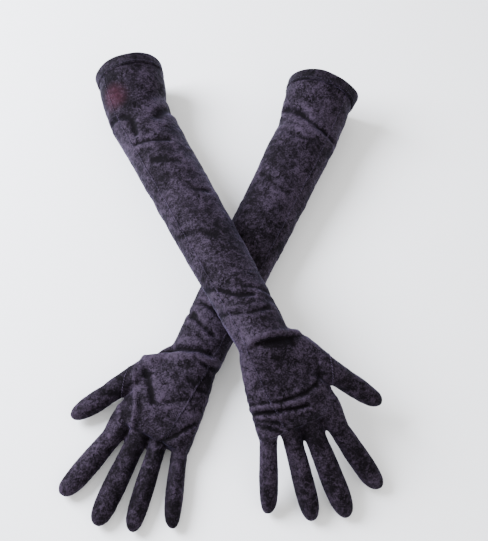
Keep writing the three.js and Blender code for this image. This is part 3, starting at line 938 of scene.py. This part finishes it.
def lining_piece(skin, settings, finish):
    """The wrong side of the cloth, inside the open end."""
    glove = skin.glove
    depth = (skin.centres - glove.elbow) @ glove.cuff_along + glove.cuff_length
    used, faces = picked(skin, depth < LINING_DEPTH)
    faces = [face[::-1] for face in faces]
    normals = skin.normals[used]
    points = skin.points[used] - normals * settings.thickness
    name = glove.name + "_velvet_lining"
    return cloth_piece(name, points, faces, -normals, skin.cloth[used], finish, "velvet")


# ---------------------------------------------------------------- finishes


def shaded(colour, share):
    """A colour made darker or lighter, as a shader's socket holds it."""
    return (*(c * share for c in colour), 1.0)


class Wire:
    """A socket's value, so that shader maths is written as ordinary arithmetic."""

    def __init__(self, finish, node, socket):
        self.finish = finish
        self.node = node
        self.socket = socket

    def of(self, output):
        return Wire(self.finish, self.node, self.node.outputs[output])

    def maths(self, operation, *values):
        sockets = dict(enumerate(values))
        return self.finish.node("ShaderNodeMath", {"operation": operation}, sockets)

    def __add__(self, other):
        return self.maths("ADD", self, other)

    __radd__ = __add__

    def __sub__(self, other):
        return self.maths("SUBTRACT", self, other)

    def __rsub__(self, other):
        return self.maths("SUBTRACT", other, self)

    def __mul__(self, other):
        return self.maths("MULTIPLY", self, other)

    __rmul__ = __mul__

    def __abs__(self):
        return self.maths("ABSOLUTE", self)


class Finish:
    """A material being made, one node at a time."""

    def __init__(self, name):
        self.material = bpy.data.materials.new(name)
        self.material.use_nodes = True
        self.tree = self.material.node_tree
        self.tree.nodes.clear()

    def node(self, kind, settings=None, sockets=None):
        made = self.tree.nodes.new(kind)
        for key, value in (settings or {}).items():
            setattr(made, key, value)
        for key, value in (sockets or {}).items():
            if isinstance(value, Wire):
                self.tree.links.new(value.socket, made.inputs[key])
            else:
                made.inputs[key].default_value = value
        return Wire(self, made, made.outputs[0] if len(made.outputs) else None)

    def cloth(self):
        return self.node("ShaderNodeAttribute", {"attribute_name": "cloth"}).of("Vector")

    def noise(self, vector, size, detail=2.0, distortion=0.0):
        """Soft random values with hills `size` metres apart."""
        sockets = {"Vector": vector, "Scale": 1 / size, "Detail": detail, "Distortion": distortion}
        return self.node("ShaderNodeTexNoise", {"noise_dimensions": "3D"}, sockets)

    def ribs(self, vector, scale, distortion):
        """Slanting ribs, about a third of 1 / `scale` metres apart."""
        settings = {"wave_type": "BANDS", "bands_direction": "DIAGONAL"}
        sockets = {"Vector": vector, "Scale": scale, "Distortion": distortion}
        return self.node("ShaderNodeTexWave", settings, sockets).of("Fac")

    def ramp(self, value, low, high):
        sockets = {"Value": value, "From Min": low, "From Max": high}
        return self.node("ShaderNodeMapRange", {"interpolation_type": "SMOOTHSTEP"}, sockets)

    def mix(self, factor, a, b):
        return self.node("ShaderNodeMix", {"data_type": "RGBA"}, {0: factor, 6: a, 7: b}).of(2)

    def stretch(self, vector, scale):
        settings = {"operation": "MULTIPLY"}
        return self.node("ShaderNodeVectorMath", settings, {0: vector, 1: scale})

    def distance(self, vector, spot):
        settings = {"operation": "DISTANCE"}
        return self.node("ShaderNodeVectorMath", settings, {0: vector, 1: spot}).of("Value")

    def bump(self, height, strength, depth):
        sockets = {"Height": height, "Strength": strength, "Distance": depth}
        return self.node("ShaderNodeBump", {}, sockets)

    def cloth_surface(self, colour, normal, sheen, sheen_tint, roughness=0.85, sheen_roughness=0.4):
        return self.node(
            "ShaderNodeBsdfPrincipled",
            {},
            {
                "Base Color": colour,
                "Roughness": roughness,
                "Specular IOR Level": 0.06,
                "Sheen Weight": sheen,
                "Sheen Roughness": sheen_roughness,
                "Sheen Tint": (*sheen_tint, 1.0),
                "Normal": normal,
            },
        )

    def close(self, surface):
        self.node("ShaderNodeOutputMaterial", {}, {"Surface": surface})
        return self.material


NAP_MIDDLE = 1.65  # the value of the summed noises where flat pile turns to brushed pile
NAP_BELOW, NAP_ABOVE = 0.34, 0.5
DULL_TUFT = 0.42  # the colour between two tufts, as a share of a tuft's
PILE_DEPTH = 0.0014


def velvet(name, look, shade):
    """Crushed velvet: pile lying flat in dark patches and brushed up in pale ones, with painted
    shade in the fold creases and painted highlight on the fold lips.
    """
    finish = Finish(name)
    cloth = finish.cloth()
    # pile is the folds' painted light, read from the mesh: painted shade in creases, painted
    # highlight on fold lips
    pile = finish.node("ShaderNodeAttribute", {"attribute_name": "pile"}).of("Fac")
    size = look.patch_size
    broad = finish.noise(cloth, size * 4.0, 1.5, 0.3)
    patch = finish.noise(cloth, size, 3.5, 0.7)
    fleck = finish.noise(cloth, size * 0.28, 3.0, 0.5)
    grain = finish.noise(cloth, 0.0012, 1.5)
    stroke = finish.noise(finish.stretch(cloth, (1.0, 0.75, 1.0)), size * 0.75, 2.0, 1.2)
    broken = finish.ramp(finish.noise(cloth, size * 0.8, 1.0), 0.5, 0.6)
    mark = (1 - finish.ramp(abs(stroke - 0.47), 0.006, 0.035)) * broken
    # pile * 0.42 adds the folds' painted shade and highlight to the nap
    raised = broad * 0.9 + patch * 0.9 + fleck * 0.8 + grain * 0.7 + pile * 0.42
    middle = NAP_MIDDLE - look.brushed
    nap = finish.ramp(raised - mark * 0.45, middle - NAP_BELOW, middle + NAP_ABOVE)
    dull = shaded(look.raised_colour, shade * DULL_TUFT)
    tuft = finish.ramp(fleck * 0.55 + grain * 0.85, 0.5, 0.86)
    upright = finish.mix(tuft, dull, shaded(look.raised_colour, shade))
    colour = finish.mix(nap, shaded(look.flat_colour, shade), upright)
    warm = 1 - finish.ramp(finish.distance(cloth, look.warm_spot), 0.003, 0.02)
    colour = finish.mix(warm * fleck * 0.6, colour, shaded(look.warm_colour, 1.0))
    height = patch * 0.9 + fleck * 0.5 + grain * 0.16 - mark * 0.35
    normal = finish.bump(height, look.relief, PILE_DEPTH)
    flat = finish.cloth_surface(colour, normal, look.sheen * 0.3, look.sheen_colour)
    brushed = finish.cloth_surface(colour, normal, look.sheen, look.sheen_colour, 0.7, 0.32)
    blend = finish.node("ShaderNodeMixShader", {}, {0: nap, 1: flat, 2: brushed})
    return finish.close(blend)


def velvet_back(look):
    """The plain knitted ground that the pile stands on, seen inside the sleeve."""
    finish = Finish("velvet_back")
    cloth = finish.cloth()
    rib = finish.ribs(cloth, 160.0, 1.2)
    tone = finish.noise(cloth, 0.02, 3.0)
    dark, light = shaded(look.flat_colour, 1.1), shaded(look.raised_colour, 0.4)
    colour = finish.mix(tone * 0.6 + rib * 0.3, dark, light)
    normal = finish.bump(rib + tone * 0.4, 0.5, 0.0005)
    return finish.close(finish.cloth_surface(colour, normal, 0.1, look.sheen_colour))


def thread(name, look, shade):
    """Sewing thread a little paler than the cloth, with the twist of its plies."""
    finish = Finish(name)
    cloth = finish.cloth()
    twist = finish.ribs(cloth, 700.0, 0.4)
    tone = finish.noise(cloth, 0.006, 2.0)
    dark, light = shaded(look.thread_colour, 0.45 * shade), shaded(look.thread_colour, shade)
    colour = finish.mix(twist * 0.5 + tone * 0.5, dark, light)
    normal = finish.bump(twist, 0.6, 0.0002)
    return finish.close(finish.cloth_surface(colour, normal, 0.25, look.sheen_colour, 0.6))


def floor_finish(look):
    finish = Finish("studio_floor")
    settings = {"noise_dimensions": "3D"}
    spot = finish.node("ShaderNodeNewGeometry").of("Position")
    tone = finish.node("ShaderNodeTexNoise", settings, {"Vector": spot, "Scale": 3.0})
    colour = finish.mix(tone, shaded(look.floor_colour, 1.0), shaded(look.floor_colour, 0.985))
    sockets = {"Base Color": colour, "Roughness": 0.9, "Specular IOR Level": 0.1}
    return finish.close(finish.node("ShaderNodeBsdfPrincipled", {}, sockets))


FINISHES = {}


def finish_of(kind, look):
    """The finish by name, made once and shared by the pieces that wear it."""
    makers = {
        "velvet": lambda: velvet("crushed_velvet", look, 1.0),
        # The hem wears the velvet darkened to 0.62: painted shade on the rolled hem
        "hem": lambda: velvet("hem_velvet", look, 0.62),
        # The seam ridge wears the velvet lightened to 1.1: painted highlight along the raised seam
        "ridge": lambda: velvet("seam_velvet", look, 1.1),
        "back": lambda: velvet_back(look),
        "thread": lambda: thread("sewing_thread", look, 0.35),
        "thumb_thread": lambda: thread("thumb_thread", look, 1.0),
    }
    if kind not in FINISHES:
        FINISHES[kind] = makers[kind]()
    return FINISHES[kind]


# ---------------------------------------------------------------- sizes and colours


class ClothSettings(bpy.types.PropertyGroup):
    thickness: FloatProperty(
        name="Cloth thickness", description="Thickness of the velvet in mm", default=1.1, min=0.4
    )
    skin_step: FloatProperty(
        name="Mesh step", description="Spacing of the cloth's mesh in mm", default=1.35, min=1.0
    )
    fold_depth: FloatProperty(
        name="Fold depth", description="How deep the creases are", default=1.0, min=0.0,
        subtype="FACTOR",
    )
    unevenness: FloatProperty(
        name="Unevenness", description="How uneven the cloth lies, in mm", default=0.8, min=0.0
    )


class HemSettings(bpy.types.PropertyGroup):
    width: FloatProperty(
        name="Hem width", description="Width of the turned hem in mm", default=12.0, min=4.0
    )
    waviness: FloatProperty(
        name="Waviness", description="How far the hem wanders, in mm", default=1.1, min=0.0
    )
    stitch: FloatProperty(
        name="Stitch pitch", description="From one hem stitch to the next, in mm", default=3.2,
        min=1.0,
    )


class SeamSettings(bpy.types.PropertyGroup):
    width: FloatProperty(
        name="Seam width", description="Width of the raised seam in mm", default=1.8, min=0.5
    )
    height: FloatProperty(
        name="Seam height", description="Height of the raised seam in mm", default=0.4, min=0.1
    )
    stitch: FloatProperty(
        name="Stitch pitch", description="From one seam stitch to the next, in mm", default=2.6,
        min=1.0,
    )


class LookSettings(bpy.types.PropertyGroup):
    flat_colour: FloatVectorProperty(
        name="Flat pile", description="Colour where the pile lies flat", size=3,
        subtype="COLOR", default=(0.0013, 0.0007, 0.0013),
    )
    raised_colour: FloatVectorProperty(
        name="Brushed pile", description="Colour where the pile is brushed up", size=3,
        subtype="COLOR", default=(0.031, 0.0215, 0.036),
    )
    thread_colour: FloatVectorProperty(
        name="Thread", description="Colour of the sewing thread", size=3,
        subtype="COLOR", default=(0.06, 0.045, 0.075),
    )
    warm_colour: FloatVectorProperty(
        name="Worn patch", description="Reddish tone where the pile is thin", size=3,
        subtype="COLOR", default=(0.05, 0.012, 0.022),
    )
    warm_spot: FloatVectorProperty(
        name="Worn patch place", description="Middle of the worn patch", size=3,
        subtype="XYZ", unit="LENGTH", default=(-0.112, 0.187, 0.055),
    )
    sheen_colour: FloatVectorProperty(
        name="Sheen", description="Tint of the sheen at grazing light", size=3,
        subtype="COLOR", default=(0.52, 0.44, 0.85),
    )
    sheen: FloatProperty(
        name="Sheen weight", description="Strength of the sheen", default=0.2, min=0.0, max=1.0,
        subtype="FACTOR",
    )
    patch_size: FloatProperty(
        name="Patch size", description="Size of the crushed patches", default=0.0125, min=0.002,
        unit="LENGTH",
    )
    brushed: FloatProperty(
        name="Brushed share", description="Raises the share of brushed pile", default=0.0,
        subtype="FACTOR", min=-1.0, max=1.0,
    )
    relief: FloatProperty(
        name="Relief", description="Strength of the pile's relief", default=0.6, min=0.0, max=1.0,
        subtype="FACTOR",
    )


class StageSettings(bpy.types.PropertyGroup):
    floor_colour: FloatVectorProperty(
        name="Floor", description="Colour of the studio floor", size=3,
        subtype="COLOR", default=(0.9, 0.9, 0.9),
    )
    room_light: FloatProperty(
        name="Room light", description="Strength of the light from all round", default=1.5, min=0.0
    )
    key_power: FloatProperty(
        name="Key light", description="Power of the large soft lamp", default=80.0, min=0.0,
        subtype="POWER", unit="POWER",
    )
    fill_power: FloatProperty(
        name="Fill light", description="Power of the weaker lamp", default=5.0, min=0.0,
        subtype="POWER", unit="POWER",
    )
    lens: FloatProperty(
        name="Lens", description="Focal length of the camera in mm", default=75.4, min=10.0
    )


SETTINGS = {
    "glove_cloth": ClothSettings,
    "glove_hem": HemSettings,
    "glove_seam": SeamSettings,
    "glove_look": LookSettings,
    "glove_stage": StageSettings,
}


# ---------------------------------------------------------------- operators


class BuildSleeves(bpy.types.Operator):
    """Make both sleeves, from the hem over the elbow to the forearm"""

    bl_idname = "gloves.build_sleeves"
    bl_label = "Sleeves"

    def execute(self, context):
        scene = context.scene
        for name, skin in skins(scene):
            obj = cut_piece(skin, "sleeve", finish_of("velvet", scene.glove_look))
            bend_elbow(obj, skin.glove)
            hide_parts(name + "_cuff_sleeve", name + "_forearm_upper")
        return {"FINISHED"}


class BuildLinings(bpy.types.Operator):
    """Make the wrong side of the cloth inside both open ends"""

    bl_idname = "gloves.build_linings"
    bl_label = "Linings"

    def execute(self, context):
        scene = context.scene
        for name, skin in skins(scene):
            obj = lining_piece(skin, scene.glove_cloth, finish_of("back", scene.glove_look))
            bend_elbow(obj, skin.glove)
        return {"FINISHED"}


class BuildHems(bpy.types.Operator):
    """Make the turned and stitched hem of both gloves"""

    bl_idname = "gloves.build_hems"
    bl_label = "Hems"

    def execute(self, context):
        scene = context.scene
        look = scene.glove_look
        for name, skin in skins(scene):
            finishes = finish_of("hem", look), finish_of("thread", look)
            obj = hem_piece(skin, scene.glove_hem, *finishes)
            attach(obj, name + "_cuff")
            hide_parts(name + "_hem_band")
        return {"FINISHED"}


class BuildHands(bpy.types.Operator):
    """Make the lower sleeve, wrist and palm of both gloves, up to the fingers"""

    bl_idname = "gloves.build_hands"
    bl_label = "Hands"

    def execute(self, context):
        scene = context.scene
        for name, skin in skins(scene):
            obj = cut_piece(skin, "hand", finish_of("velvet", scene.glove_look))
            bend_wrist(obj, skin.glove)
            parts = ("forearm_middle", "forearm_lower", "hand_trank", "thumb_inset")
            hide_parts(*(name + "_" + part for part in parts))
        return {"FINISHED"}


class BuildFingers(bpy.types.Operator):
    """Make the fingers and thumbs of both gloves, each in two lengths"""

    bl_idname = "gloves.build_fingers"
    bl_label = "Fingers and thumbs"

    def execute(self, context):
        scene = context.scene
        velvet_finish = finish_of("velvet", scene.glove_look)
        for name, skin in skins(scene):
            glove = skin.glove
            for finger in (*glove.fingers.values(), glove.thumb):
                part = finger.name
                lower = cut_piece(skin, part, velvet_finish)
                bend_at(lower, glove, "hand", part, finger.root, finger.along, FINGER_BEND[part])
                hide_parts(name + "_" + part + "_lower")
                end = cut_piece(skin, part + "_end", velvet_finish)
                reach = (-TIP_SPREAD, TIP_SPREAD)
                bend_at(end, glove, part, part + "_tip", finger.bend, finger.along, reach)
                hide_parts(name + "_" + part + "_tip")
        return {"FINISHED"}


class BuildSideSeams(bpy.types.Operator):
    """Make the raised side seams along both sleeves and hands"""

    bl_idname = "gloves.build_side_seams"
    bl_label = "Side seams"

    def execute(self, context):
        scene = context.scene
        look, seam = scene.glove_look, scene.glove_seam
        finishes = finish_of("ridge", look), finish_of("thread", look)
        for name, skin in skins(scene):
            glove = skin.glove
            path, out, from_wrist = side_line(skin)
            upper = from_wrist < -WRIST_SPREAD - 2
            lower = ~upper
            lower[np.flatnonzero(upper)[-1]] = True
            obj = ridge_piece(
                name + "_seam_sleeve", glove, path[upper], out[upper], seam, *finishes
            )
            bend_elbow(obj, glove)
            lengths = ("cuff_seam", "forearm_seam_upper", "forearm_seam_middle")
            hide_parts(*(name + "_" + part for part in lengths))
            obj = ridge_piece(name + "_seam_hand", glove, path[lower], out[lower], seam, *finishes)
            bend_wrist(obj, glove)
            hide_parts(name + "_forearm_seam_lower", name + "_hand_seam")
        return {"FINISHED"}


class BuildThumbSeams(bpy.types.Operator):
    """Make the seam where each thumb piece is set into its hand"""

    bl_idname = "gloves.build_thumb_seams"
    bl_label = "Thumb seams"

    def execute(self, context):
        scene = context.scene
        look, seam = scene.glove_look, scene.glove_seam
        finishes = finish_of("ridge", look), finish_of("thumb_thread", look)
        for name, skin in skins(scene):
            path, out = thumb_line(skin)
            obj = ridge_piece(
                name + "_seam_thumb", skin.glove, path, out, seam, *finishes, closed=True
            )
            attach(obj, name + "_hand")
        return {"FINISHED"}


LOOK_AT = (0.01823, 0.00403, 0.030)
CAMERA_AT = (0.01823, -0.48018, 1.00543)
# Each lamp's place and width in metres, and its colour.
KEY_LAMP = (-0.95, 0.35, 0.85), 0.9, (0.86, 0.89, 1.0)
FILL_LAMP = (0.7, -0.9, 1.1), 0.8, (1.0, 0.97, 0.95)
FLOOR_REACH = 3000.0
FLOOR_SQUARES = 12
FLOOR_HEIGHT = -0.2


def aimed(obj, place, target):
    obj.location = place
    turn = (Vector(target) - Vector(place)).to_track_quat("-Z", "Y")
    obj.rotation_euler = turn.to_euler()
    bpy.context.scene.collection.objects.link(obj)
    return obj


def lamp(name, power, place, size, colour):
    data = bpy.data.lights.new(name, "AREA")
    data.energy = power
    data.shape = "DISK"
    data.size = size
    data.color = colour
    return aimed(bpy.data.objects.new(name, data), place, LOOK_AT)


class BuildStage(bpy.types.Operator):
    """Make the camera, the lamps, the room light and the floor"""

    bl_idname = "gloves.build_stage"
    bl_label = "Stage"

    def execute(self, context):
        scene = context.scene
        settings = scene.glove_stage
        data = bpy.data.cameras.new("studio_camera")
        data.lens = settings.lens
        data.sensor_width = 36.0
        data.clip_end = 50.0
        scene.camera = aimed(bpy.data.objects.new("studio_camera", data), CAMERA_AT, LOOK_AT)
        lamp("key_lamp", settings.key_power, *KEY_LAMP)
        lamp("fill_lamp", settings.fill_power, *FILL_LAMP)
        world = bpy.data.worlds.new("studio_room")
        world.use_nodes = True
        room = world.node_tree.nodes["Background"]
        room.inputs["Color"].default_value = shaded((1.0, 1.0, 1.0), 1.0)
        room.inputs["Strength"].default_value = settings.room_light
        scene.world = world
        steps = np.linspace(-FLOOR_REACH, FLOOR_REACH, FLOOR_SQUARES + 1)
        points = np.array([(x, y, FLOOR_HEIGHT) for y in steps for x in steps])
        count = len(steps)
        faces = [
            (j * count + i, j * count + i + 1, (j + 1) * count + i + 1, (j + 1) * count + i)
            for j in range(count - 1)
            for i in range(count - 1)
        ]
        floor = new_object("studio_floor", points, faces)
        floor.data.materials.append(floor_finish(settings))
        floor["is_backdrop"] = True
        return {"FINISHED"}


OPERATORS = (
    BuildStage,
    BuildSleeves,
    BuildLinings,
    BuildHems,
    BuildHands,
    BuildFingers,
    BuildSideSeams,
    BuildThumbSeams,
)


class GlovesPanel(bpy.types.Panel):
    """Lists the gloves' pieces and the sizes and colours they are made with"""

    bl_idname = "VIEW3D_PT_gloves"
    bl_label = "Opera gloves"
    bl_space_type = "VIEW_3D"
    bl_region_type = "UI"
    bl_category = "Gloves"

    def draw(self, context):
        layout = self.layout
        for operator in OPERATORS:
            layout.operator(operator.bl_idname)
        for name, group in SETTINGS.items():
            box = layout.box()
            settings = getattr(context.scene, name)
            for prop in group.__annotations__:
                box.prop(settings, prop)


CLASSES = (*SETTINGS.values(), *OPERATORS, GlovesPanel)


def register():
    for cls in CLASSES:
        bpy.utils.register_class(cls)
    for name, group in SETTINGS.items():
        setattr(bpy.types.Scene, name, PointerProperty(type=group))


def unregister():
    for name in SETTINGS:
        delattr(bpy.types.Scene, name)
    for cls in reversed(CLASSES):
        bpy.utils.unregister_class(cls)


def main():
    register()
    for operator in OPERATORS:
        family, name = operator.bl_idname.split(".")
        getattr(getattr(bpy.ops, family), name)()
    sizes = [[list(map(float, corner)) for corner in box] for box in (CAD_BOX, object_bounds())]


if __name__ == "__main__":
    main()
